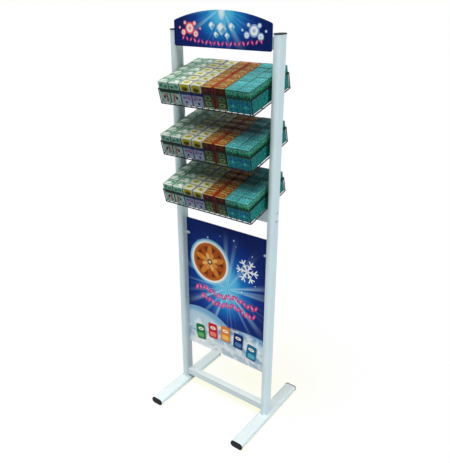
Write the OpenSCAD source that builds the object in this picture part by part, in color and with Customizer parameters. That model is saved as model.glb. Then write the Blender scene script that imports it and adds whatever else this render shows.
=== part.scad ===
// Free-standing display stand. Two flat-oval tube uprights on tube feet carry an arched header,
// three sloping wire baskets full of small packs, and a lower poster panel.
// Origin on the floor midway between the uprights, +Z up, the front faces -Y.

/* [Uprights and feet] */
// Distance between the centre lines of the two uprights
upright_spacing = 400; // [340:5:520]
// Thickness of the flat-oval tube
tube_short = 25; // [22:1:30]
// Width of the flat-oval tube
tube_long = 50; // [44:1:60]
// Wall of every tube
tube_wall = 1.5; // [1:0.1:2.5]
// Height of the upright tubes
upright_h = 1415; // [1360:5:1600]
// Length of the foot tubes, front to back
foot_l = 399; // [330:1:500]

/* [Plastic plugs] */
// Thickness of a plug's visible lip
plug_lip_t = 4; // [2:0.5:6]
// How far a lip stands proud of its tube
plug_lip_proud = 1; // [0.5:0.25:2]
// Length of the plug body inside the tube
plug_body_l = 18; // [10:1:30]
// Wall of the hollow plug body
plug_wall = 2; // [1.5:0.1:3]

/* [Rails] */
// Depth of both rails, front to back
rail_d = 25; // [20:1:25]
// Height of the lower crossbar
crossbar_h = 30; // [20:1:40]
// Gap between the feet and the crossbar above them
crossbar_gap = 12; // [4:1:60]
// Height of the middle rail
middle_rail_h = 50; // [40:1:60]
// Outer corner radius of the rail tubes
rail_corner_r = 3; // [2.5:0.25:5]
// Thickness of the middle rail's welded end plates
rail_end_t = 4; // [3:0.5:6]
// Distance between the two bolts at each end of the middle rail
rail_bolt_pitch = 30; // [20:1:34]

/* [Header] */
// How far the header reaches down below the tops of the upright tubes
header_drop = 48; // [44:1:70]
// Height of the header's straight sides
header_side_h = 79; // [60:1:120]
// Rise of the arched top above the side corners
header_rise = 33; // [15:1:60]
// Thickness of the header plate
header_t = 2; // [1.5:0.25:4]
// How far the header laps over the rounded nose of each upright
header_lap = 1; // [0:0.25:1.5]
// Distance of the header's face behind the front line of the uprights
header_setback = 1; // [0:0.25:2]
// Corner radius of the header plate
header_corner_r = 7; // [3:0.5:12]
// Length of a bracket arm behind the header
bracket_arm = 22; // [18:1:30]
// Depth of a bracket's leg along the upright
bracket_leg = 29; // [24:1:31]
// Height of a bracket
bracket_h = 36; // [30:1:40]
// Sheet thickness of brackets and lugs
bracket_t = 2; // [1.5:0.25:3]
// Height of a bracket's lower end above the header's lower edge
bracket_inset = 6; // [2:0.5:8]
// Distance between the two studs on each bracket
stud_pitch = 20; // [14:1:24]

/* [Lower panel] */
// Open height between the crossbar and the panel
panel_gap_below = 140; // [80:1:200]
// Open height between the panel and the middle rail
panel_gap_above = 71.5; // [30:0.5:120]
// Thickness of the panel
panel_t = 3; // [2:0.5:5]
// Distance of the panel's face behind the uprights' centre plane
panel_setback = 2.5; // [0:0.25:4]
// Gap between the panel and each upright
panel_gap = 3.5; // [1:0.25:6]
// Length of a lug from the upright over the panel
lug_l = 20; // [16:1:30]
// Height of a lug
lug_h = 10; // [9:0.5:16]
// Height of the upper lugs below the panel's top
lug_inset_top = 62; // [20:1:120]
// Height of the lower lugs above the panel's bottom
lug_inset_bottom = 78; // [20:1:120]

/* [Baskets] */
// Drop from the header's lower edge to the top basket's front lower edge
basket_drop = 177; // [165:1:210]
// Step from one basket down to the next
basket_step = 173.5; // [160:0.5:180]
// Length of a basket along its slope
basket_l = 226; // [200:1:260]
// Height of a basket's rim wire centre above its underside
basket_h = 51; // [40:1:58]
// Forward slope of the baskets
basket_tilt = 14.8; // [8:0.1:20]
// Distance of the baskets' front lower edge before the uprights' centre plane
basket_reach = 110.5; // [95:0.5:125]
// Diameter of the frame wires
frame_wire_d = 4; // [3.5:0.25:6]
// Bend radius of the frame wires at the corners
frame_bend_r = 6; // [5:0.25:6.5]
// Diameter of the floor wires
floor_wire_d = 3; // [2.5:0.25:4]
// Floor wires under each row of packs
floor_wires_per_row = 2; // [1:1:3]
// Thickness of the mounting plates welded to a basket's sides
plate_t = 2.5; // [2:0.25:5]
// Width of a mounting plate along the slope
plate_w = 24; // [18:1:30]
// Distance between the two screws of a mounting plate
plate_screw_pitch = 18; // [14:1:22]
// How far welded wires sink into each other
weld_sink = 0.6; // [0.4:0.1:1]

/* [Packs] */
// Rows of packs of each of the four kinds
rows_per_kind = 2; // [1:1:3]
// Packs in each row, front to back
packs_per_row = 6; // [4:1:8]
// Height of a pack
pack_h = 73.5; // [60:0.5:76]
// Gap between neighbouring rows of packs
pack_row_gap = 1.5; // [1:0.25:4]
// Gap between packs in a row
pack_gap = 0.8; // [0.4:0.1:2]
// Edge radius of a pack
pack_edge_r = 1.5; // [1:0.25:4]
// Clearance between the outer packs and the frame wires
pack_side_clear = 0.5; // [0.5:0.1:3]

/* [Fasteners] */
// Shank diameter of the panel screws and header studs
small_screw_d = 4; // [3:0.5:5]
// Shank diameter of the rail bolts and basket screws
bolt_d = 6; // [5:0.5:6]

/* [Hidden] */
paint = "#c3d2d8";
black = "#17181a";
steel = "#b9bcc0";
navy = "#0d2a66";
pack_colours = ["#a9d2c0", "#e4e2b4", "#4a2b1c", "#1f8186"];

seat_clear = 0.3;
hole_clear = 0.4;
cross_sink = 0.35;
wire_end_inset = 1;
flat_nut_af = 1.75 * small_screw_d;
nut_h = 0.8 * small_screw_d;
small_head_d = 1.9 * small_screw_d;
small_head_h = 0.65 * small_screw_d;
bolt_head_d = 1.8 * bolt_d;
bolt_head_h = 0.55 * bolt_d;
screw_spare = 3;
bolt_engage = 6;
round_fn = 96;
cap_fn = 48;

// Heights and places of the frame
side_x = upright_spacing / 2;
inner_x = side_x - tube_short / 2;
outer_x = side_x + tube_short / 2;
foot_zc = plug_lip_proud + tube_short / 2;
upright_z = plug_lip_proud + tube_short;
upright_top = upright_z + upright_h;
crossbar_z = upright_z + crossbar_gap;

// Header face and the arc through its side corners
header_z = upright_top - header_drop;
header_y = -tube_long / 2 + header_setback;
header_back = header_y + header_t;
header_half_w = inner_x + header_lap;
header_arc_r = (header_half_w * header_half_w + header_rise * header_rise) / (2 * header_rise);
header_arc_z = header_z + header_side_h + header_rise - header_arc_r;
bracket_mid_z = header_z + bracket_inset + bracket_h / 2;
stud_levels = [bracket_mid_z - stud_pitch / 2, bracket_mid_z + stud_pitch / 2];
stud_x = inner_x - bracket_t - (bracket_arm - bracket_t) / 2;
stud_l = bracket_t + nut_h + screw_spare;

// Baskets in their own tilted frame: x across, y up the slope from the front, z off the floor.
// The floor wires end in the lower loop, level with it, and cross wires run under them.
tiers = [0, 1, 2];
basket_z = header_z - basket_drop;
wire_r = frame_wire_d / 2;
floor_r = floor_wire_d / 2;
basket_half_w = inner_x - plate_t + weld_sink;
loop_x = basket_half_w - wire_r;
floor_z = wire_r;
pack_seat_z = floor_z + floor_r + seat_clear;
cross_z = floor_z - 2 * floor_r + cross_sink;
cross_places = [0.28, 0.72];
plate_mid_z = (basket_h + wire_r) / 2;
plate_y = (basket_reach + plate_mid_z * sin(basket_tilt)) / cos(basket_tilt);
plate_levels = [plate_mid_z - plate_screw_pitch / 2, plate_mid_z + plate_screw_pitch / 2];

// Packs fill the space inside the frame wires
pack_field_x = 2 * (basket_half_w - frame_wire_d - pack_side_clear);
pack_field_y = basket_l - 2 * (frame_wire_d + pack_side_clear);
pack_rows = len(pack_colours) * rows_per_kind;
pack_pitch_x = pack_field_x / pack_rows;
pack_pitch_y = pack_field_y / packs_per_row;

// The middle rail stands just under the lowest basket, which leans on its front edge
lowest_z = basket_z - basket_step * tiers[len(tiers) - 1];
rail_top_z = lowest_z + (basket_reach - rail_d / 2) * tan(basket_tilt) - seat_clear;
rail_mid_z = rail_top_z - middle_rail_h / 2;
rail_bolt_levels = [rail_mid_z - rail_bolt_pitch / 2, rail_mid_z + rail_bolt_pitch / 2];
bolt_l = tube_short + rail_end_t + bolt_engage;

// The lower panel fills the frame between the two rails, and its lugs hold it at the sides
panel_half_w = inner_x - panel_gap;
panel_z = crossbar_z + crossbar_h + panel_gap_below;
panel_top = rail_top_z - middle_rail_h - panel_gap_above;
lug_levels = [panel_z + lug_inset_bottom, panel_top - lug_inset_top];
lug_screw_x = inner_x - lug_l + lug_h / 2;
panel_screw_l = bracket_t + panel_t + nut_h + screw_spare;

// Point of a basket's own frame (slope y, height z) in the stand's frame, as [y, z]
function on_tier(tier, y, z) = [
    -basket_reach + y * cos(basket_tilt) - z * sin(basket_tilt),
    basket_z - tier * basket_step + y * sin(basket_tilt) + z * cos(basket_tilt)
];

// Points of an arc about a centre from one angle to another
function arc(centre, r, from, to, steps = 10) = [
    for (i = [0:steps])
        let (angle = from + (to - from) * i / steps)
        centre + r * [cos(angle), sin(angle)]
];

// Flat-oval section with its long side along X
module flat_oval(long, short) {
    square([long - short, short], center = true);
    for (s = [-1, 1]) translate([s * (long - short) / 2, 0]) circle(d = short, $fn = round_fn);
}

// Rectangle with round corners, centred
module round_rect(w, h, r) {
    square([w - 2 * r, h], center = true);
    square([w, h - 2 * r], center = true);
    for (x = [-1, 1], y = [-1, 1])
        translate([x * (w / 2 - r), y * (h / 2 - r)]) circle(r = r, $fn = cap_fn);
}

// Flat-oval tube standing on Z, with its long side along X
module oval_tube(l) {
    linear_extrude(l) difference() {
        flat_oval(tube_long, tube_short);
        flat_oval(tube_long - 2 * tube_wall, tube_short - 2 * tube_wall);
    }
}

// Hollow plug with its lip above Z = 0 and its body below
module oval_plug() {
    body_long = tube_long - 2 * tube_wall - seat_clear;
    body_short = tube_short - 2 * tube_wall - seat_clear;
    linear_extrude(plug_lip_t) flat_oval(tube_long + 2 * plug_lip_proud, tube_short + 2 * plug_lip_proud);
    translate([0, 0, -plug_body_l]) linear_extrude(plug_body_l) difference() {
        flat_oval(body_long, body_short);
        flat_oval(body_long - 2 * plug_wall, body_short - 2 * plug_wall);
    }
}

// Round rod along X, Y or Z, centred on a point
module rod_z(at, l, d) { translate(at) cylinder(h = l, d = d, center = true, $fn = cap_fn); }
module rod_x(at, l, d) { translate(at) rotate([0, 90, 0]) rod_z([0, 0, 0], l, d); }
module rod_y(at, l, d) { translate(at) rotate([90, 0, 0]) rod_z([0, 0, 0], l, d); }

module foot(side) {
    color(paint) translate([side * side_x, -foot_l / 2, foot_zc]) rotate([-90, 0, 0]) oval_tube(foot_l);
}

module foot_plug(side, end) {
    color(black) translate([side * side_x, end * foot_l / 2, foot_zc]) rotate([-90 * end, 0, 0]) oval_plug();
}

// Upright with holes for the rail bolts through both walls and for the basket screws in the inner wall
module upright(side) {
    color(paint) difference() {
        translate([side * side_x, 0, upright_z]) rotate(90) oval_tube(upright_h);
        for (z = rail_bolt_levels) rod_x([side * side_x, 0, z], 2 * tube_short, bolt_d + hole_clear);
        for (tier = tiers, level = plate_levels) {
            p = on_tier(tier, plate_y, level);
            rod_x([side * inner_x, p[0], p[1]], tube_short, bolt_d + hole_clear);
        }
    }
}

module top_cap(side) {
    color(black) translate([side * side_x, 0, upright_top]) rotate(90) oval_plug();
}

// Rectangular rail tube between the uprights, centred on a height
module rail_tube(h, z) {
    translate([-inner_x, 0, z]) rotate([90, 0, 90]) linear_extrude(2 * inner_x) difference() {
        round_rect(rail_d, h, rail_corner_r);
        round_rect(rail_d - 2 * tube_wall, h - 2 * tube_wall, rail_corner_r - tube_wall / 2);
    }
}

module lower_crossbar() {
    color(paint) rail_tube(crossbar_h, crossbar_z + crossbar_h / 2);
}

// Middle rail, closed by end plates that take the bolts
module middle_rail() {
    color(paint) difference() {
        union() {
            rail_tube(middle_rail_h, rail_mid_z);
            for (s = [-1, 1])
                translate([s * (inner_x - rail_end_t / 2) - rail_end_t / 2, 0, rail_mid_z])
                    rotate([90, 0, 90]) linear_extrude(rail_end_t)
                        round_rect(rail_d - tube_wall, middle_rail_h - tube_wall,
                                   rail_corner_r - tube_wall / 2);
        }
        for (s = [-1, 1], z = rail_bolt_levels)
            rod_x([s * inner_x, 0, z], 4 * rail_end_t, bolt_d + hole_clear);
    }
}

// Screw along +X from the underside of its head at X = 0, with the head on the -X side
module screw(d, l, head_d, head_h) {
    rotate([0, 90, 0]) cylinder(h = l, d = d, $fn = cap_fn);
    translate([-head_h, 0, 0]) rotate([0, 90, 0]) cylinder(h = head_h, d = head_d, $fn = cap_fn);
}

// Hexagon nut along Y from Y = 0
module nut() {
    rotate([-90, 0, 0]) difference() {
        cylinder(h = nut_h, d = flat_nut_af / cos(30), $fn = 6);
        translate([0, 0, -nut_h]) cylinder(h = 3 * nut_h, d = small_screw_d + hole_clear / 2, $fn = cap_fn);
    }
}

module rail_bolts() {
    color(steel) for (s = [0, 1], z = rail_bolt_levels)
        mirror([s, 0, 0]) translate([-outer_x, 0, z]) screw(bolt_d, bolt_l, bolt_head_d, bolt_head_h);
}

// Arched outline of the header, drawn as X and Z
module header_outline() {
    r = header_corner_r;
    corner_x = header_half_w - r;
    corner_z = header_arc_z + sqrt((header_arc_r - r) * (header_arc_r - r) - corner_x * corner_x);
    lean = atan2(corner_z - header_arc_z, corner_x);
    polygon(concat(
        arc([corner_x, header_z + r], r, -90, 0),
        arc([corner_x, corner_z], r, 0, lean),
        arc([0, header_arc_z], header_arc_r, lean, 180 - lean, 32),
        arc([-corner_x, corner_z], r, 180 - lean, 180),
        arc([-corner_x, header_z + r], r, 180, 270)
    ));
}

// Header plate with its welded studs
module header_panel() {
    color(navy) {
        translate([0, header_back, 0]) rotate([90, 0, 0]) linear_extrude(header_t) header_outline();
        for (s = [-1, 1], z = stud_levels)
            rod_y([s * stud_x, header_back + stud_l / 2, z], stud_l, small_screw_d);
    }
}

// Folded brackets from the inner faces of the uprights to the back of the header
module header_brackets() {
    color(paint) for (s = [0, 1]) mirror([s, 0, 0]) difference() {
        translate([0, 0, bracket_mid_z - bracket_h / 2]) linear_extrude(bracket_h) {
            translate([inner_x - bracket_t, header_back]) square([bracket_t, bracket_leg]);
            translate([inner_x - bracket_arm, header_back]) square([bracket_arm, bracket_t]);
        }
        for (z = stud_levels) rod_y([stud_x, header_back, z], 3 * bracket_t, small_screw_d + hole_clear);
    }
}

module header_nuts() {
    color(steel) for (s = [-1, 1], z = stud_levels)
        translate([s * stud_x, header_back + bracket_t, z]) nut();
}

module lower_panel() {
    color(navy) difference() {
        translate([-panel_half_w, panel_setback, panel_z])
            cube([2 * panel_half_w, panel_t, panel_top - panel_z]);
        for (s = [-1, 1], z = lug_levels)
            rod_y([s * lug_screw_x, panel_setback, z], 3 * panel_t, small_screw_d + hole_clear);
    }
}

// Round-ended lugs welded to the uprights, in front of the panel
module panel_lugs() {
    color(paint) for (s = [0, 1], z = lug_levels) mirror([s, 0, 0])
        translate([0, panel_setback, z]) rotate([90, 0, 0]) linear_extrude(bracket_t) difference() {
            union() {
                translate([lug_screw_x, -lug_h / 2]) square([inner_x - lug_screw_x, lug_h]);
                translate([lug_screw_x, 0]) circle(d = lug_h, $fn = cap_fn);
            }
            translate([lug_screw_x, 0]) circle(d = small_screw_d + hole_clear, $fn = cap_fn);
        }
}

module panel_screws() {
    color(steel) for (s = [-1, 1], z = lug_levels)
        translate([s * lug_screw_x, panel_setback - bracket_t, z]) rotate(90)
            screw(small_screw_d, panel_screw_l, small_head_d, small_head_h);
}

module panel_nuts() {
    color(steel) for (s = [-1, 1], z = lug_levels)
        translate([s * lug_screw_x, panel_setback + panel_t, z]) nut();
}

// Places what is drawn in a basket's own frame
module in_tier(tier) {
    translate([0, -basket_reach, basket_z - tier * basket_step]) rotate([basket_tilt, 0, 0]) children();
}

// Closed loop of frame wire with bent corners at a height
module wire_loop(z) {
    run_x = loop_x - frame_bend_r;
    near_y = wire_r + frame_bend_r;
    far_y = basket_l - near_y;
    for (y = [wire_r, basket_l - wire_r]) rod_x([0, y, z], 2 * run_x, frame_wire_d);
    for (s = [-1, 1]) rod_y([s * loop_x, basket_l / 2, z], far_y - near_y, frame_wire_d);
    for (corner = [[run_x, far_y, 0], [-run_x, far_y, 90], [-run_x, near_y, 180], [run_x, near_y, 270]])
        translate([corner[0], corner[1], z]) rotate(corner[2])
            rotate_extrude(angle = 90, $fn = round_fn)
                translate([frame_bend_r, 0]) circle(d = frame_wire_d, $fn = cap_fn);
}

// Welded wire basket: two loops, corner posts, floor wires and the two mounting plates
module basket(tier) {
    post_inset = frame_bend_r * (1 - cos(45));
    post_x = loop_x - post_inset;
    post_y = wire_r + post_inset;
    floor_wires = pack_rows * floor_wires_per_row;
    floor_pitch = pack_field_x / floor_wires;
    color(steel) in_tier(tier) difference() {
        union() {
            wire_loop(wire_r);
            wire_loop(basket_h);
            for (s = [-1, 1], y = [post_y, basket_l - post_y])
                rod_z([s * post_x, y, (wire_r + basket_h) / 2], basket_h - wire_r, frame_wire_d - weld_sink);
            for (i = [0:floor_wires - 1])
                rod_y([(i - (floor_wires - 1) / 2) * floor_pitch, basket_l / 2, floor_z],
                      basket_l - 2 * wire_end_inset, floor_wire_d);
            for (place = cross_places)
                rod_x([0, basket_l * place, cross_z], 2 * loop_x, floor_wire_d);
            for (s = [-1, 1])
                translate([s * (inner_x - plate_t / 2) - plate_t / 2, plate_y - plate_w / 2, wire_end_inset])
                    cube([plate_t, plate_w, basket_h + wire_r - 2 * wire_end_inset]);
        }
        for (s = [-1, 1], level = plate_levels)
            rod_x([s * inner_x, plate_y, level], 4 * plate_t, bolt_d + hole_clear);
    }
}

module basket_screws() {
    length = plate_t + tube_wall + screw_spare;
    color(steel) for (tier = tiers) in_tier(tier)
        for (s = [0, 1], level = plate_levels)
            mirror([s, 0, 0]) translate([inner_x - plate_t, plate_y, level])
                screw(bolt_d, length, bolt_head_d, min(bolt_head_h, frame_wire_d - weld_sink));
}

// All packs of one kind in one basket, kinds running from left to right
module packs(tier, kind) {
    left_x = kind * rows_per_kind * pack_pitch_x - pack_field_x / 2;
    front_y = frame_wire_d + pack_side_clear;
    color(pack_colours[kind]) in_tier(tier)
        for (row = [0:rows_per_kind - 1], i = [0:packs_per_row - 1])
            translate([left_x + (row + 0.5) * pack_pitch_x, front_y + (i + 0.5) * pack_pitch_y, pack_seat_z])
                linear_extrude(pack_h)
                    round_rect(pack_pitch_x - pack_row_gap, pack_pitch_y - pack_gap, pack_edge_r);
}

foot(-1);  // left_foot
foot(1);  // right_foot
upright(-1);  // left_upright
upright(1);  // right_upright
top_cap(-1);  // left_top_cap
top_cap(1);  // right_top_cap
foot_plug(-1, -1);  // front_left_plug
foot_plug(1, -1);  // front_right_plug
foot_plug(-1, 1);  // rear_left_plug
foot_plug(1, 1);  // rear_right_plug
lower_crossbar();
middle_rail();
rail_bolts();
header_panel();
header_brackets();
header_nuts();
lower_panel();
panel_lugs();
panel_screws();
panel_nuts();
basket(0);  // top_basket
basket(1);  // middle_basket
basket(2);  // bottom_basket
basket_screws();
packs(0, 0);  // top_packs_pale
packs(0, 1);  // top_packs_yellow
packs(0, 2);  // top_packs_brown
packs(0, 3);  // top_packs_teal
packs(1, 0);  // middle_packs_pale
packs(1, 1);  // middle_packs_yellow
packs(1, 2);  // middle_packs_brown
packs(1, 3);  // middle_packs_teal
packs(2, 0);  // bottom_packs_pale
packs(2, 1);  // bottom_packs_yellow
packs(2, 2);  // bottom_packs_brown
packs(2, 3);  // bottom_packs_teal
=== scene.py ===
"""Looks of a free-standing display stand: painted tube frame, printed sheets, wire baskets, cartons."""

import logging
import math
from collections.abc import Callable, Sequence
from dataclasses import dataclass, field
from enum import Enum
from functools import partial
from random import Random
from typing import Any

import bpy
from mathutils import Matrix, Vector


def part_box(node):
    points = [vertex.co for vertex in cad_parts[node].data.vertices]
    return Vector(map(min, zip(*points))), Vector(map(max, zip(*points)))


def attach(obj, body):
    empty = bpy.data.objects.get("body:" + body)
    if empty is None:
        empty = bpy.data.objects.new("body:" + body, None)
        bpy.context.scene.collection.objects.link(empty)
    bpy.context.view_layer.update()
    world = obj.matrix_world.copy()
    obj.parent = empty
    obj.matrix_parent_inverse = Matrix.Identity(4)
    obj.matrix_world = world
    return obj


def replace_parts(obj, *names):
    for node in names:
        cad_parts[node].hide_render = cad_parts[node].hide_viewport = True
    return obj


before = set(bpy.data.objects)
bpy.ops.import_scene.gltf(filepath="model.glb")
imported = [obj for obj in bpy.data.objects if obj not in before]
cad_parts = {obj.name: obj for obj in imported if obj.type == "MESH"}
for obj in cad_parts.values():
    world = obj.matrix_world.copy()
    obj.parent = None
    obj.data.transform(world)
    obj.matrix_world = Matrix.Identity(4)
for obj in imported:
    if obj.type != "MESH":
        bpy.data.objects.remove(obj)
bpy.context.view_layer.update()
MM = 0.001
UP = Vector((0, 0, 1))
CORNERS = ((1, 1), (-1, 1), (-1, -1), (1, -1))
SIDES = ("left", "right")
BODY = "root"
# Share of a noise cell that one blob takes up
BLOB_SHARE = 0.5
# Places of a colour Mix node's factor, two colours and result
SHARE, UNDER, OVER, MIXED = 0, 6, 7, 2
log = logging.getLogger("display_stand")

Pair = tuple[float, float]
Ring = list[Vector]
Stamp = Callable[[Vector, Ring], tuple[int, Ring]]
Material = bpy.types.Material
Node = bpy.types.Node
Socket = bpy.types.NodeSocket
Tree = bpy.types.NodeTree


def linear(colour: str) -> tuple[float, float, float, float]:
    """Turns an sRGB hex colour into linear light, by the curve of the sRGB standard.

    Args:
        colour: six hex digits after a hash sign.

    Returns:
        Red, green, blue and a full alpha.
    """
    parts = [int(colour[i:i + 2], 16) / 255 for i in (1, 3, 5)]
    light = [p / 12.92 if p <= 0.04045 else ((p + 0.055) / 1.055) ** 2.4 for p in parts]
    return (*light, 1.0)


def add_node(tree: Tree, kind: str, inputs: dict[int | str, Any], **settings: Any) -> Node:
    """Adds one shader node with its settings and links.

    Args:
        tree: node tree of a material or of the world.
        kind: type of the node, after the words ShaderNode.
        inputs: sockets by name or place, each with a value, an output to link, or a node whose first
            output is linked.
        settings: properties of the node.

    Returns:
        The new node.
    """
    made = tree.nodes.new(f"ShaderNode{kind}")
    for name, value in settings.items():
        setattr(made, name, value)
    for key, value in inputs.items():
        source = value.outputs[0] if isinstance(value, Node) else value
        if isinstance(source, Socket):
            tree.links.new(source, made.inputs[key])
        else:
            made.inputs[key].default_value = source
    return made


def bare_tree(owner: Material | bpy.types.World) -> Tree:
    """Empties the node tree of a new material or world.

    Args:
        owner: the material or world.

    Returns:
        Its tree, without nodes.
    """
    owner.use_nodes = True
    owner.node_tree.nodes.clear()
    return owner.node_tree


def blob_scale(width: float) -> float:
    """Gives the noise scale at which one blob is about that wide."""
    return BLOB_SHARE / width


def put(name: str, data: bpy.types.ID) -> bpy.types.Object:
    """Puts a mesh, lamp or camera into the scene.

    Args:
        name: the object's name.
        data: the mesh, lamp or camera.

    Returns:
        The new object.
    """
    made = bpy.data.objects.new(name, data)
    bpy.context.scene.collection.objects.link(made)
    return made


def bearing(degrees: float) -> Vector:
    """Points along an angle from +X in the XY plane."""
    return Vector((math.cos(math.radians(degrees)), math.sin(math.radians(degrees)), 0))


def turned(degrees: float, axis: str) -> Matrix:
    """Turns about an axis."""
    return Matrix.Rotation(math.radians(degrees), 4, axis)


def rounded_section(w: float, d: float, r: float, steps: int) -> Ring:
    """Draws a rectangle with round corners; a corner of half the shorter side makes it a flat oval.

    Args:
        w: size along X.
        d: size along Y.
        r: corner radius.
        steps: straight pieces in each corner.

    Returns:
        Points counter-clockwise at height 0.
    """
    points = []
    for quarter, (sx, sy) in enumerate(CORNERS):
        centre = Vector((sx * (w / 2 - r), sy * (d / 2 - r), 0))
        points += [centre + r * bearing(90 * (quarter + i / steps)) for i in range(steps + 1)]
    return points


def at_height(ring: Ring, z: float) -> Ring:
    """Lifts a flat ring to a height."""
    return [Vector((p.x, p.y, z)) for p in ring]


def plain_stamp(_normal: Vector, corners: Ring) -> tuple[int, Ring]:
    """Marks a face that carries no print."""
    return 0, corners


@dataclass
class Workpiece:
    """Mesh under construction: points in metres, faces with their finish and print coordinates."""

    name: str
    points: Ring = field(default_factory=list)
    faces: list[tuple[int, ...]] = field(default_factory=list)
    finishes: list[int] = field(default_factory=list)
    prints: Ring = field(default_factory=list)

    def skin(self, rings: Sequence[Ring], place: Matrix, stamp: Stamp = plain_stamp,
             looped: bool = False) -> None:
        """Covers a row of rings of equal length with faces.

        Args:
            rings: outlines in the piece's own frame, in millimetres, from the lowest up.
            place: brings the piece's own frame into the stand's frame.
            stamp: gives a face's finish and the print coordinates of its corners.
            looped: joins the last ring to the first instead of closing both ends.
        """
        count, first = len(rings[0]), len(self.points)
        own = [p for ring in rings for p in ring]
        faces = []
        for level in range(len(rings) if looped else len(rings) - 1):
            low, high = level * count, (level + 1) % len(rings) * count
            for i in range(count):
                j = (i + 1) % count
                faces.append((low + i, low + j, high + j, high + i))
        if not looped:
            faces.append(tuple(reversed(range(count))))
            faces.append(tuple(range(len(own) - count, len(own))))
        for corners in faces:
            ring = [own[i] for i in corners]
            normal = sum(((a - ring[0]).cross(b - ring[0]) for a, b in zip(ring[1:], ring[2:])), Vector())
            finish, marks = stamp(normal.normalized(), ring)
            self.faces.append(tuple(first + i for i in corners))
            self.finishes.append(finish)
            self.prints.extend(marks)
        self.points.extend(place @ (p * MM) for p in own)

    def build(self, materials: Sequence[Material], slot: str, sharp: float = 35) -> bpy.types.Object:
        """Turns the gathered faces into an object that rides on the stand.

        Args:
            materials: finishes in the order that the stamps number them.
            slot: name of a material slot; not used.
            sharp: edges that bend by more than this many degrees stay crisp.

        Returns:
            The new object.
        """
        mesh = bpy.data.meshes.new(self.name)
        mesh.from_pydata(self.points, [], self.faces)
        mesh.polygons.foreach_set("material_index", self.finishes)
        marks = mesh.attributes.new("print", "FLOAT_VECTOR", "CORNER")
        marks.data.foreach_set("vector", [c for mark in self.prints for c in mark])
        for material in materials:
            mesh.materials.append(material)
        mesh.shade_smooth()
        mesh.set_sharp_from_angle(angle=math.radians(sharp))
        made = put(self.name, mesh)
        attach(made, BODY)
        log.info("built %s with %d faces", self.name, len(self.faces))
        return made


def finish_nodes(material: Material, *nodes: str) -> None:
    """Gives CAD nodes their finish.

    Args:
        material: the finish.
        nodes: names of the CAD nodes.
    """
    for name in nodes:
        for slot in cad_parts[name].material_slots:
            slot.material = material
        log.info("dressed %s in %s", name, material.name)


class Shape(Enum):
    """Outline of a printed field, as the power that its two distances are raised to."""

    OVAL = 2
    CUSHION = 4
    PATCH = 8


OVAL, CUSHION, PATCH = Shape


@dataclass(frozen=True)
class Field:
    """One field of printed colour, in millimetres on its sheet.

    The sheet's origin is the middle of its lower edge. A soft edge runs inwards, and a fleck size
    breaks the field up into flecks of about that width.
    """

    colour: str
    at: Pair
    half: Pair
    shape: Shape = PATCH
    turn: float = 0.0
    soft: float = 0.8
    cover: float = 1.0
    fleck: float = 0.0


@dataclass(frozen=True)
class Rays:
    """Fan of pale streaks around a point of the sheet, in millimetres and degrees."""

    colour: str
    at: Pair
    reach: float
    width: float
    cover: float = 1.0


Inks = tuple[Field | Rays, ...]


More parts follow.
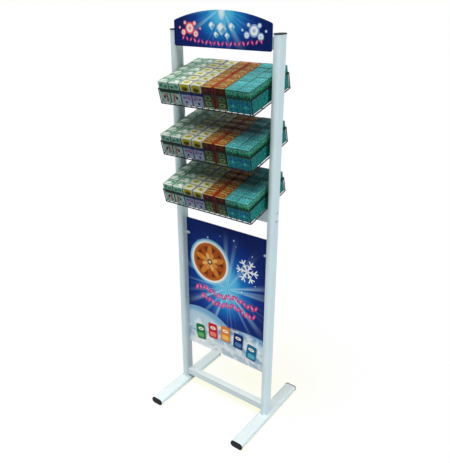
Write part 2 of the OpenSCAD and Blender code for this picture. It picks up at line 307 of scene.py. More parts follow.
@dataclass
class Canvas:
    """Printing plate in a material: each call lays one ink over what is there.

    The edges are the levels of the noise between which a fleck or a streak fades in.
    """

    tree: Tree
    point: Socket
    colour: Socket
    fleck_edge: Pair = (0.48, 0.58)
    fleck_detail: float = 2.0
    streak_edge: Pair = (0.5, 0.75)
    streak_detail: float = 1.0

    def print_all(self, inks: Inks) -> None:
        """Prints a design's inks one over the other.

        Args:
            inks: the inks from the ground up.
        """
        for ink in inks:
            if isinstance(ink, Field):
                self.lay(ink)
            else:
                self.radiate(ink)

    def lay(self, spot: Field) -> None:
        """Prints one field of colour.

        Args:
            spot: the field.
        """
        add = partial(add_node, self.tree)
        away, power, powers = self.apart_from(spot.at), spot.shape.value, []
        for turn, half in zip((spot.turn, spot.turn + 90), spot.half):
            along = add("VectorMath", {0: away, 1: bearing(turn) / half}, operation="DOT_PRODUCT")
            powers.append(add("Math", {0: along.outputs["Value"], 1: power}, operation="POWER"))
        reach = add("Math", {0: powers[0], 1: powers[1]}, operation="ADD")
        edge = min(1.0, power * spot.soft / min(spot.half))
        mask = add(
            "MapRange",
            {"Value": reach, "From Min": 1 - edge, "From Max": 1, "To Min": spot.cover, "To Max": 0},
            interpolation_type="SMOOTHSTEP")
        self.ink(self.flecked(mask, spot.fleck) if spot.fleck else mask, spot.colour)

    def apart_from(self, at: Pair) -> Node:
        """Measures from a place on the sheet."""
        return add_node(self.tree, "VectorMath", {0: self.point, 1: (*at, 0)}, operation="SUBTRACT")

    def flecked(self, mask: Node, size: float) -> Node:
        """Breaks a mask up into flecks.

        Args:
            mask: cover of the field.
            size: width of a fleck in millimetres.

        Returns:
            The broken cover.
        """
        add = partial(add_node, self.tree)
        noise = add(
            "TexNoise", {"Vector": self.point, "Scale": blob_scale(size), "Detail": self.fleck_detail})
        low, high = self.fleck_edge
        broken = add("MapRange", {"Value": noise, "From Min": low, "From Max": high})
        return add("Math", {0: mask, 1: broken}, operation="MULTIPLY")

    def radiate(self, rays: Rays) -> None:
        """Prints a fan of streaks that fades away from its centre.

        Args:
            rays: the fan.
        """
        add = partial(add_node, self.tree)
        away = self.apart_from(rays.at)
        part = add("SeparateXYZ", {0: away})
        angle = add("Math", {0: part.outputs[1], 1: part.outputs[0]}, operation="ARCTAN2")
        scale = blob_scale(math.radians(rays.width))
        streak = add(
            "TexNoise", {"W": angle, "Scale": scale, "Detail": self.streak_detail}, noise_dimensions="1D")
        low, high = self.streak_edge
        bright = add("MapRange", {"Value": streak, "From Min": low, "From Max": high})
        far = add("VectorMath", {0: away}, operation="LENGTH")
        fade = add(
            "MapRange",
            {"Value": far.outputs["Value"], "From Max": rays.reach, "To Min": rays.cover, "To Max": 0},
            interpolation_type="SMOOTHSTEP")
        self.ink(add("Math", {0: bright, 1: fade}, operation="MULTIPLY"), rays.colour)

    def ink(self, mask: Node, colour: str) -> None:
        """Lays a colour over the print where the mask covers it."""
        inked = {SHARE: mask, UNDER: self.colour, OVER: linear(colour)}
        self.colour = add_node(self.tree, "Mix", inked, data_type="RGBA").outputs[MIXED]


@dataclass(frozen=True)
class Finish:
    """A surface: its colours and gloss, and the sizes of its clouds and grain in millimetres.

    The clouds run from the colour to the shade, and swing the roughness both ways.
    """

    name: str
    colour: str
    roughness: float
    metallic: float = 0.0
    specular: float = 0.5
    shade: str = "#808080"
    cloud_w: float = 50.0
    swing: float = 0.0
    grain_w: float = 1.0
    grain_h: float = 0.0
    cloud_detail: float = 3.0
    grain_detail: float = 2.0
    grain_strength: float = 0.6

    def material(self) -> Material:
        """Makes the material, with its constants set on the shader itself.

        Returns:
            The new material.
        """
        made = bpy.data.materials.new(self.name)
        tree = bare_tree(made)
        shader = add_node(
            tree, "BsdfPrincipled",
            {"Base Color": linear(self.colour), "Roughness": self.roughness, "Metallic": self.metallic,
             "Specular IOR Level": self.specular})
        add_node(tree, "OutputMaterial", {"Surface": shader})
        self.tint(tree, shader)
        self.grain(tree, shader)
        return made

    def tint(self, tree: Tree, shader: Node) -> None:
        """Varies colour and gloss in soft clouds.

        Args:
            tree: the material's nodes.
            shader: the Principled node.
        """
        add = partial(add_node, tree)
        where = add("TexCoord", {}).outputs["Object"]
        scale = blob_scale(self.cloud_w * MM)
        cloud = add("TexNoise", {"Vector": where, "Scale": scale, "Detail": self.cloud_detail})
        shades = {SHARE: cloud, UNDER: linear(self.colour), OVER: linear(self.shade)}
        tint = add("Mix", shades, data_type="RGBA")
        gloss = add(
            "MapRange",
            {"Value": cloud, "To Min": self.roughness - self.swing, "To Max": self.roughness + self.swing})
        tree.links.new(tint.outputs[MIXED], shader.inputs["Base Color"])
        tree.links.new(gloss.outputs[0], shader.inputs["Roughness"])

    def grain(self, tree: Tree, shader: Node) -> None:
        """Raises a fine grain.

        Args:
            tree: the material's nodes.
            shader: the Principled node.
        """
        add = partial(add_node, tree)
        where = add("TexCoord", {}).outputs["Object"]
        scale = blob_scale(self.grain_w * MM)
        noise = add("TexNoise", {"Vector": where, "Scale": scale, "Detail": self.grain_detail})
        bump = add(
            "Bump", {"Strength": self.grain_strength, "Distance": self.grain_h * MM, "Height": noise})
        tree.links.new(bump.outputs[0], shader.inputs["Normal"])


@dataclass(frozen=True)
class PowderCoat(Finish):
    """Polyester powder coat, sprayed and baked on steel tube.

    To the eye it is a satin film with an orange-peel skin of about 2 mm and faint clouds in the
    colour, which are drawn wider than real ones so that they show.
    """

    name: str = "powder_coated_steel"
    colour: str = "#d4e5e9"
    roughness: float = 0.4
    shade: str = "#cadce1"
    cloud_w: float = 45
    swing: float = 0.05
    grain_w: float = 2
    grain_h: float = 0.05


@dataclass(frozen=True)
class MouldedPlastic(Finish):
    """Polyethylene, injection moulded in a spark-eroded tool.

    To the eye it is matt black and scuffed a little greyer in patches. Its leathery grain is drawn
    coarser than the real one so that it shows in a close view.
    """

    name: str = "moulded_polyethylene"
    colour: str = "#0a0a0c"
    roughness: float = 0.55
    specular: float = 0.2
    shade: str = "#17181a"
    cloud_w: float = 9
    swing: float = 0.08
    grain_w: float = 0.7
    grain_h: float = 0.06


@dataclass(frozen=True)
class BrightPlate(Finish):
    """Bright nickel plate on drawn steel wire.

    To the eye such thin wire reads dark where it mirrors the dark parts of a room, so its colour is
    far darker than nickel's own. Marks of the drawing die blur the reflection. They are made coarser
    than real ones so that they show in a close view.
    """

    name: str = "nickel_plated_wire"
    colour: str = "#131618"
    roughness: float = 0.38
    metallic: float = 1.0
    shade: str = "#2a2f32"
    cloud_w: float = 14
    swing: float = 0.07
    grain_w: float = 1.2
    grain_h: float = 0.02


@dataclass(frozen=True)
class ZincPlate(Finish):
    """Zinc plate on cold-headed steel.

    To the eye it is a pale bluish metal, cloudy from the bath. Its grain is drawn coarser than the
    real one so that it shows in a close view.
    """

    name: str = "zinc_plated_steel"
    colour: str = "#c3cace"
    roughness: float = 0.34
    metallic: float = 1.0
    shade: str = "#9aa6ad"
    cloud_w: float = 3
    swing: float = 0.1
    grain_w: float = 0.5
    grain_h: float = 0.02


@dataclass(frozen=True)
class PrintedSheet(Finish):
    """Sheet with a laminated print on its front and plain lacquer on its back and edges.

    To the eye it is a silky film over deep, saturated inks, with a slow wave in its gloss.
    """

    roughness: float = 0.45
    specular: float = 0.07
    shade: str = "#051c58"
    cloud_w: float = 60
    grain_w: float = 8
    grain_h: float = 0.03
    back: str = "#dfe3e4"
    front_share: float = 0.5
    base_z: float = 0.0
    inks: Inks = ()

    def tint(self, tree: Tree, shader: Node) -> None:
        """Prints the front and leaves the back pale.

        Args:
            tree: the material's nodes.
            shader: the Principled node.
        """
        add = partial(add_node, tree)
        part = add("SeparateXYZ", {0: add("TexCoord", {}).outputs["Object"]})
        upright = add("CombineXYZ", {0: part.outputs[0], 1: part.outputs[2]})
        foot = add("VectorMath", {0: upright, 1: (0, self.base_z, 0)}, operation="SUBTRACT")
        sheet = add("VectorMath", {0: foot, "Scale": 1 / MM}, operation="SCALE").outputs[0]
        cloud = add("TexNoise", {"Vector": sheet, "Scale": blob_scale(self.cloud_w)})
        shades = {SHARE: cloud, UNDER: linear(self.colour), OVER: linear(self.shade)}
        canvas = Canvas(tree, sheet, add("Mix", shades, data_type="RGBA").outputs[MIXED])
        canvas.print_all(self.inks)
        looks = add("NewGeometry", {}).outputs["True Normal"]
        front = add("VectorMath", {0: looks, 1: (0, -1, 0)}, operation="DOT_PRODUCT")
        printed = add("Math", {0: front.outputs["Value"], 1: self.front_share}, operation="GREATER_THAN")
        both = add(
            "Mix", {SHARE: printed, UNDER: linear(self.back), OVER: canvas.colour}, data_type="RGBA")
        tree.links.new(both.outputs[MIXED], shader.inputs["Base Color"])


@dataclass(frozen=True)
class CartonBoard(Finish):
    """Coated folding boxboard, offset printed and varnished.

    To the eye it is flat ink under a soft sheen, and each carton is a little lighter or darker than
    the next. The clouds of its fibres are drawn wider than real ones so that they show.
    """

    roughness: float = 0.5
    specular: float = 0.1
    cloud_w: float = 6
    grain_w: float = 1.5
    grain_h: float = 0.03
    fibre_range: Pair = (0.8, 1.2)
    tone_range: Pair = (0.86, 1.12)
    inks: Inks = ()

    def tint(self, tree: Tree, shader: Node) -> None:
        """Prints the board by the coordinates that its faces carry.

        Args:
            tree: the material's nodes.
            shader: the Principled node.
        """
        add = partial(add_node, tree)
        marks = add("Attribute", {}, attribute_name="print")
        part = add("SeparateXYZ", {0: marks.outputs["Vector"]})
        sheet = add("CombineXYZ", {0: part.outputs[0], 1: part.outputs[1]}).outputs[0]
        fibre = add("TexNoise", {"Vector": sheet, "Scale": blob_scale(self.cloud_w)})
        low, high = self.fibre_range
        lift = add("MapRange", {"Value": fibre, "To Min": low, "To Max": high})
        ground = add("HueSaturation", {"Color": linear(self.colour), "Value": lift})
        canvas = Canvas(tree, sheet, ground.outputs[0])
        canvas.print_all(self.inks)
        low, high = self.tone_range
        tone = add("MapRange", {"Value": part.outputs[2], "To Min": low, "To Max": high})
        shown = add("HueSaturation", {"Color": canvas.colour, "Value": tone})
        tree.links.new(shown.outputs[0], shader.inputs["Base Color"])


@dataclass(frozen=True)
class Lamp:
    """One soft lamp, by the side that it shines from and its spread in degrees."""

    name: str
    energy: float
    shines_from: tuple[float, float, float]
    spread: float
    colour: str


@dataclass
class Studio:
    """White floor, soft lamps, and the camera at the photograph's place.

    Places are in metres, angles in degrees, the sensor in millimetres.
    """

    eye: tuple[float, float, float] = (1.0472, -1.4277, 1.5463)
    pitch: float = 23.95
    heading: float = 36.26
    focal_px: float = 532.9
    image_long_px: int = 463
    sensor: float = 36.0
    ambient: float = 0.02
    sky: str = "#f0f6ff"
    white: str = "#ffffff"
    lamps: tuple[Lamp, ...] = (
        Lamp("overhead_softbox", 4.45, (-0.06, -0.32, 1.0), 62, "#fff6f0"),
        Lamp("side_fill", 1.25, (1.0, 0.0, 0.12), 8, "#eefaff"),
    )
    floor_size: float = 30.0
    floor_bounce: str = "#b5c3c9"
    floor_glow: str = "#f8f8cf"
    floor_shade: str = "#3f3f9e"

    def build(self) -> None:
        """Sets up the view transform, world, floor, lamps and camera."""
        bpy.context.scene.view_settings.view_transform = "Standard"
        self.light_world()
        self.lay_floor()
        for lamp in self.lamps:
            self.hang(lamp)
        self.set_camera()
        log.info("studio ready")

    def seen(self, tree: Tree) -> Socket:
        """Tells rays that show the background from rays that light the stand.

        Args:
            tree: nodes of the world or of the floor.

        Returns:
            1 for camera, glossy and transmission rays, 0 for the rest.
        """
        rays = add_node(tree, "LightPath", {}).outputs
        shown = rays["Is Camera Ray"]
        for other in ("Is Glossy Ray", "Is Transmission Ray"):
            shown = add_node(tree, "Math", {0: shown, 1: rays[other]}, operation="MAXIMUM").outputs[0]
        return shown

    def light_world(self) -> None:
        """Makes the world white to the eye and dim as a light."""
        world = bpy.data.worlds.new("white_room")
        tree = bare_tree(world)
        dim = add_node(tree, "Background", {"Color": linear(self.sky), "Strength": self.ambient})
        white = add_node(tree, "Background", {"Color": linear(self.white)})
        mixed = add_node(tree, "MixShader", {0: self.seen(tree), 1: dim, 2: white})
        add_node(tree, "OutputWorld", {"Surface": mixed})
        bpy.context.scene.world = world

    def lay_floor(self) -> None:
        """Lays a floor that is white to the eye and keeps a faint warm shadow."""
        half = self.floor_size / 2
        mesh = bpy.data.meshes.new("floor")
        mesh.from_pydata([(half * x, half * y, 0) for x, y in CORNERS], [], [(0, 1, 2, 3)])
        material = bpy.data.materials.new("white_vinyl_floor")
        tree = bare_tree(material)
        bounce = add_node(tree, "BsdfDiffuse", {"Color": linear(self.floor_bounce)})
        glow = add_node(tree, "Emission", {"Color": linear(self.floor_glow)})
        shade = add_node(tree, "BsdfDiffuse", {"Color": linear(self.floor_shade)})
        white = add_node(tree, "AddShader", {0: glow, 1: shade})
        mixed = add_node(tree, "MixShader", {0: self.seen(tree), 1: bounce, 2: white})
        add_node(tree, "OutputMaterial", {"Surface": mixed})
        mesh.materials.append(material)
        put("floor", mesh)

    def hang(self, lamp: Lamp) -> None:
        """Hangs one lamp.

        Args:
            lamp: its brightness, side and colour.
        """
        light = bpy.data.lights.new(lamp.name, "SUN")
        light.energy = lamp.energy
        light.angle = math.radians(lamp.spread)
        light.color = linear(lamp.colour)[:3]
        hung = put(lamp.name, light)
        hung.rotation_euler = Vector(lamp.shines_from).to_track_quat("Z", "Y").to_euler()

    def set_camera(self) -> None:
        """Sets the camera where the photograph was taken."""
        data = bpy.data.cameras.new("camera")
        data.sensor_width = self.sensor
        data.lens = self.focal_px * self.sensor / self.image_long_px
        camera = put("camera", data)
        camera.location = self.eye
        camera.rotation_euler = (math.radians(90 - self.pitch), 0, math.radians(self.heading))
        bpy.context.scene.camera = camera


@dataclass
class TubeFrame:
    """Painted tubes and brackets, with the weld beads where the tubes meet.

    Sizes are in millimetres and degrees, and the ripple is a share of the bead.
    """

    paint: PowderCoat = PowderCoat()
    painted: tuple[str, ...] = (
        "left_foot", "right_foot", "left_upright", "right_upright", "lower_crossbar", "middle_rail",
        "header_brackets", "panel_lugs")
    bead_r: float = 1.7
    bead_ripple: float = 0.12
    ripple_pitch: float = 2.4
    bead_sides: int = 8
    bead_sharp: float = 60
    oval_steps: int = 40
    bar_corner: float = 3
    bar_steps: int = 24
    least_length: float = 1e-9

    def dress(self) -> None:
        """Paints the CAD tubes and lays the beads."""
        coat = self.paint.material()
        finish_nodes(coat, *self.painted)
        piece = Workpiece("frame_welds")
        for side in SIDES:
            self.weld_upright(piece, side)
            self.weld_crossbar(piece, side)
        piece.build([coat], "tube_paint", self.bead_sharp)

    def weld_upright(self, piece: Workpiece, side: str) -> None:
        """Lays a bead round the base of an upright.

        Args:
            piece: the mesh that takes the bead.
            side: the upright's side.
        """
        low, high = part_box(f"{side}_upright")
        w, d = (high.x - low.x) / MM, (high.y - low.y) / MM
        path = rounded_section(w + self.bead_r, d + self.bead_r, (w + self.bead_r) / 2, self.oval_steps)
        middle = Vector(((low.x + high.x) / 2, (low.y + high.y) / 2, low.z))
        self.run_bead(piece, path, Matrix.Translation(middle))

    def weld_crossbar(self, piece: Workpiece, side: str) -> None:
        """Lays a bead round one end of the lower crossbar.

        Args:
            piece: the mesh that takes the bead.
            side: the end's side.
        """
        low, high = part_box("lower_crossbar")
        d, h = (high.y - low.y) / MM, (high.z - low.z) / MM
        path = rounded_section(h + self.bead_r, d + self.bead_r, self.bar_corner, self.bar_steps)
        x, turn = (low.x, -90) if side == "left" else (high.x, 90)
        at = Vector((x, (low.y + high.y) / 2, (low.z + high.z) / 2))
        self.run_bead(piece, path, Matrix.Translation(at) @ turned(turn, "Y"))

    def run_bead(self, piece: Workpiece, path: Ring, place: Matrix) -> None:
        """Sweeps a rippled bead along a closed path.

        Args:
            piece: the mesh that takes the bead.
            path: closed line of the bead in millimetres.
            place: brings the path into the stand's frame.
        """
        steps = self.even_steps(path)
        rings = []
        for i, point in enumerate(steps):
            along = (steps[(i + 1) % len(steps)] - steps[i - 1]).normalized()
            out = along.cross(UP)
            r = self.bead_r * (1 - self.bead_ripple * (i % 2))
            angles = (2 * math.pi * k / self.bead_sides for k in range(self.bead_sides))
            rings.append([point + r * (math.cos(a) * out + math.sin(a) * UP) for a in angles])
        piece.skin(rings, place, looped=True)

    def even_steps(self, path: Ring) -> Ring:
        """Spaces points evenly along a closed path.

        Args:
            path: corners of the path in millimetres.

        Returns:
            Points half a ripple apart.
        """
        lengths = [(path[(i + 1) % len(path)] - p).length for i, p in enumerate(path)]
        count = 2 * round(sum(lengths) / self.ripple_pitch)
        step, steps, walked = sum(lengths) / count, [], 0.0
        for i, p in enumerate(path):
            while len(steps) < count and len(steps) * step <= walked + lengths[i]:
                share = (len(steps) * step - walked) / max(lengths[i], self.least_length)
                steps.append(p.lerp(path[(i + 1) % len(path)], share))
            walked += lengths[i]
        return steps


@dataclass
class EndPlugs:
    """Black plugs in the feet and caps on the uprights, with soft moulded edges, in millimetres."""

    plastic: MouldedPlastic = MouldedPlastic()
    lip_t: float = 4.0
    lip_edge: float = 1.6
    edge_steps: int = 4
    body_step: float = 2.6
    end_flat: float = 0.01
    steps: int = 10

    def build(self) -> None:
        """Moulds the six plugs over their CAD nodes."""
        black = self.plastic.material()
        for foot in SIDES:
            for end, turn in (("front", 90), ("rear", -90)):
                self.mould(f"{end}_{foot}_plug", turned(turn, "X"), black)
            self.mould(f"{foot}_top_cap", turned(90, "Z"), black)

    def mould(self, node: str, turn: Matrix, black: Material) -> None:
        """Makes one plug.

        Args:
            node: the CAD node that it stands for.
            turn: brings the plug's own axis, +Z out of the tube, into the stand's frame.
            black: its finish.
        """
        low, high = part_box(node)
        long, short, length = (abs(c) for c in turn.to_3x3().inverted() @ (high - low) / MM)
        tip = (low + high) / 2 + turn.to_3x3() @ UP * length * MM / 2
        stack = [(self.body_step, -length), (self.body_step, -self.lip_t), (0, -self.lip_t)]
        for i in range(self.edge_steps + 1):
            angle = math.radians(90 * i / self.edge_steps)
            stack.append((self.lip_edge * (1 - math.cos(angle)), -self.lip_edge * (1 - math.sin(angle))))
        piece = Workpiece(f"{node}_moulding")
        rings = [at_height(self.oval(long, short, inset), z) for inset, z in stack]
        piece.skin(rings, Matrix.Translation(tip) @ turn)
        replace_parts(piece.build([black], "black_plug"), node)

    def oval(self, long: float, short: float, inset: float) -> Ring:
        """Draws the plug's flat-oval outline, drawn in by an inset."""
        r = short / 2 - inset - self.end_flat
        return rounded_section(long - 2 * inset, short - 2 * inset, r, self.steps)


class Recess(Enum):
    """Drive of a screw head, as the number of its arms or sides."""

    CROSS = 4
    HEXAGON = 6


@dataclass
class DomedScrews:
    """Screws with domed heads in the corners of a CAD group; a sideways group has heads at both sides.

    Sizes are in millimetres and degrees, but half the width of a recess's arm is in radians. Shares
    are of the shank, the head or the recess.
    """

    node: str
    sideways: bool
    head_d: float
    head_h: float
    shank_d: float
    recess: Recess
    sides: int = 24
    tip_h: float = 0.5
    tip_share: float = 0.8
    dome_arc: float = 70
    dome_share: float = 0.75
    dome_steps: int = 4
    recess_share: float = 0.3
    recess_taper: float = 0.9
    recess_depth: float = 0.55
    arm_half: float = 0.2
    waist_share: float = 0.42

    def build(self, zinc: Material) -> None:
        """Makes all screws of the group and puts them in its place.

        Args:
            zinc: their finish.
        """
        axis = 0 if self.sideways else 1
        # The left half of either group is one screw long
        along = [v.co[axis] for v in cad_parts[self.node].data.vertices if v.co.x < 0]
        rings = self.profile((max(along) - min(along)) / MM)
        piece = Workpiece(f"{self.node}_domed")
        for place in self.places(*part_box(self.node)):
            piece.skin(rings, place)
        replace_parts(piece.build([zinc], "zinc_fastener"), self.node)

    def places(self, low: Vector, high: Vector) -> list[Matrix]:
        """Finds where the top of each head lies and which way it looks.

        Args:
            low: lowest corner of the group.
            high: highest corner of the group.

        Returns:
            Matrices that bring a screw's own +Z, out of its head, into the stand's frame.
        """
        r = self.head_d / 2 * MM
        levels = (low.z + r, high.z - r)
        if self.sideways:
            middle = (low.y + high.y) / 2
            return [Matrix.Translation((x, middle, z)) @ turned(turn, "Y")
                    for x, turn in ((low.x, -90), (high.x, 90)) for z in levels]
        return [Matrix.Translation((x, low.y, z)) @ turned(90, "X")
                for x in (low.x + r, high.x - r) for z in levels]

    def profile(self, length: float) -> list[Ring]:
        """Stacks the rings of one screw from the tip of its shank to the floor of its recess.

        Args:
            length: whole length in millimetres, head included.

        Returns:
            Rings along +Z, with the top of the head at height 0.
        """
        shank, head, h = self.shank_d / 2, self.head_d / 2, self.head_h
        stack = [(shank * self.tip_share, -length), (shank, self.tip_h - length), (shank, -h), (head, -h)]
        for i in range(self.dome_steps + 1):
            angle = math.radians(self.dome_arc * i / self.dome_steps)
            rise = math.sin(angle) / math.sin(math.radians(self.dome_arc))
            stack.append((head * math.cos(angle), -h * self.dome_share * (1 - rise)))
        mouth = self.head_d * self.recess_share
        rings = [at_height(self.circle(r), z) for r, z in stack]
        rings.append(at_height(self.drive(mouth), 0))
        rings.append(at_height(self.drive(mouth * self.recess_taper), -h * self.recess_depth))
        return rings

    def circle(self, r: float) -> Ring:
        """Draws a circle with as many points as the drive."""
        return [r * bearing(360 * i / self.sides) for i in range(self.sides)]

    def drive(self, r: float) -> Ring:
        """Draws the recess: a hexagon, or a cross with narrow arms.

        Args:
            r: reach of the recess in millimetres.

        Returns:
            Points counter-clockwise at height 0.
        """
        arms, points = self.recess.value, []
        for i in range(self.sides):
            angle = 2 * math.pi * i / self.sides
            across = (angle + math.pi / arms) % (2 * math.pi / arms) - math.pi / arms
            if self.recess is Recess.HEXAGON:
                reach = r * math.cos(math.pi / arms) / math.cos(across)
            else:
                reach = r if abs(across) < self.arm_half else r * self.waist_share
            points.append(reach * Vector((math.cos(angle), math.sin(angle), 0)))
        return points


@dataclass
class Fasteners:
    """Nuts, bolts and screws of the whole stand, all in one zinc plate."""

    plate: ZincPlate = ZincPlate()
    plain: tuple[str, ...] = ("header_nuts", "panel_nuts", "basket_screws")
    domed: tuple[DomedScrews, ...] = (
        DomedScrews("rail_bolts", sideways=True, head_d=10.8, head_h=3.3, shank_d=6, recess=Recess.HEXAGON),
        DomedScrews("panel_screws", sideways=False, head_d=7.6, head_h=2.6, shank_d=4, recess=Recess.CROSS),
    )

    def build(self) -> None:
        """Plates the plain ones and makes the domed ones."""
        zinc = self.plate.material()
        finish_nodes(zinc, *self.plain)
        for screws in self.domed:
            screws.build(zinc)


@dataclass(frozen=True)
class Garland:
    """String of pink petals that lean left and right by turns, in millimetres and degrees."""

    half: Pair
    lean: float
    pitch: float
    pinks: tuple[str, ...] = ("#e0508f", "#cf2f7d", "#cf2f7d")
    heart: str = "#f7bcd3"
    heart_share: Pair = (0.5, 0.4)
    heart_cover: float = 0.85
    soft: float = 1.0

    def hang(self, start: float, heights: Sequence[float]) -> Inks:
        """Hangs the petals from left to right.

        Args:
            start: place of the first petal across the sheet.
            heights: height of each petal above the sheet's foot.

        Returns:
            The garland's inks: each petal with a paler heart.
        """
        heart = (self.half[0] * self.heart_share[0], self.half[1] * self.heart_share[1])
        inks = []
        for i, z in enumerate(heights):
            at = (start + self.pitch * i, z)
            turn = 90 + (self.lean if i % 2 else -self.lean)
            inks.append(Field(self.pinks[i % len(self.pinks)], at, self.half, OVAL, turn, self.soft))
            inks.append(Field(self.heart, at, heart, OVAL, turn, self.soft, self.heart_cover))
        return tuple(inks)


@dataclass
class PrintedPlate:
    """Sheet of the stand that carries a print on its front, drawn in millimetres."""

    node: str
    sheet: str
    navy: str

    def dress(self) -> None:
        """Prints the front of the CAD sheet."""
        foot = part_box(self.node)[0].z
        film = PrintedSheet(self.sheet, self.navy, base_z=foot, inks=self.inks())
        finish_nodes(film.material(), self.node)

    def inks(self) -> Inks:
        """Lists the inks from the ground up; each sheet has its own."""
        raise NotImplementedError


@dataclass
class HeaderPlate(PrintedPlate):
    """Arched plate at the top, printed with a light burst over dark blue."""

    node: str = "header_panel"
    sheet: str = "laminated_header_sheet"
    navy: str = "#0b2168"
    garland: Garland = Garland((8.5, 4), lean=28, pitch=15.8)
    swag_start: float = -150
    swag_foot: float = 14
    swag_rise: float = 13
    swag_count: int = 20

    def inks(self) -> Inks:
        """Lists the header's inks from the ground up: glow, streaks, discs, crystals, petals.

        Returns:
            The inks in the order of printing.
        """
        glow = (
            Field("#0f47a4", (0, 78), (165, 100), OVAL, soft=165),
            Field("#1a8fd6", (4, 92), (108, 78), OVAL, soft=108),
            Field("#55c6ef", (4, 106), (60, 50), OVAL, soft=58),
            Field("#eafaff", (4, 112), (16, 34), OVAL, soft=16),
            Rays("#a9e2f8", (4, 118), 165, 8, 0.9),
        )
        middle = (self.swag_count - 1) / 2
        bow = [((i - middle) / middle) ** 2 for i in range(self.swag_count)]
        swag = self.garland.hang(self.swag_start, [self.swag_foot + self.swag_rise * share for share in bow])
        discs = self.discs(-122, "#e0566a", "#fde3df") + self.discs(124, "#86aede", "#f2f7fd")
        return glow + discs + self.crystals() + swag

    def crystals(self) -> Inks:
        """Draws pale diamonds, each with a lighter and a darker facet.

        Returns:
            The diamonds' inks.
        """
        stones = ((4, 58, 15), (-34, 66, 10), (42, 64, 10), (-17, 40, 8), (26, 38, 8))
        facets = (("#a5d2e6", 0, 1), ("#f3fbfe", -0.35, 0.62), ("#6fb0d2", 0.4, 0.5))
        return tuple(
            Field(colour, (x + shift * r, z - shift * r), (share * r, share * r), PATCH, 45)
            for x, z, r in stones for colour, shift, share in facets)

    def discs(self, x: float, rim: str, core: str) -> Inks:
        """Draws a cluster of rimmed discs.

        Args:
            x: middle of the cluster in millimetres.
            rim: colour of the rims.
            core: colour inside the rims.

        Returns:
            The cluster's inks.
        """
        places = (
            (0, 56, 19), (-26, 43, 11), (24, 40, 12), (19, 71, 8), (-20, 72, 7), (42, 56, 5), (-42, 57, 5))
        layers = ((rim, 1, 1.2, 1), (core, 0.76, 2, 1), (rim, 0.34, 1.5, 0.7))
        return tuple(
            Field(colour, (x + dx, z), (share * r, share * r), OVAL, soft=soft, cover=cover)
            for dx, z, r in places for colour, share, soft, cover in layers)


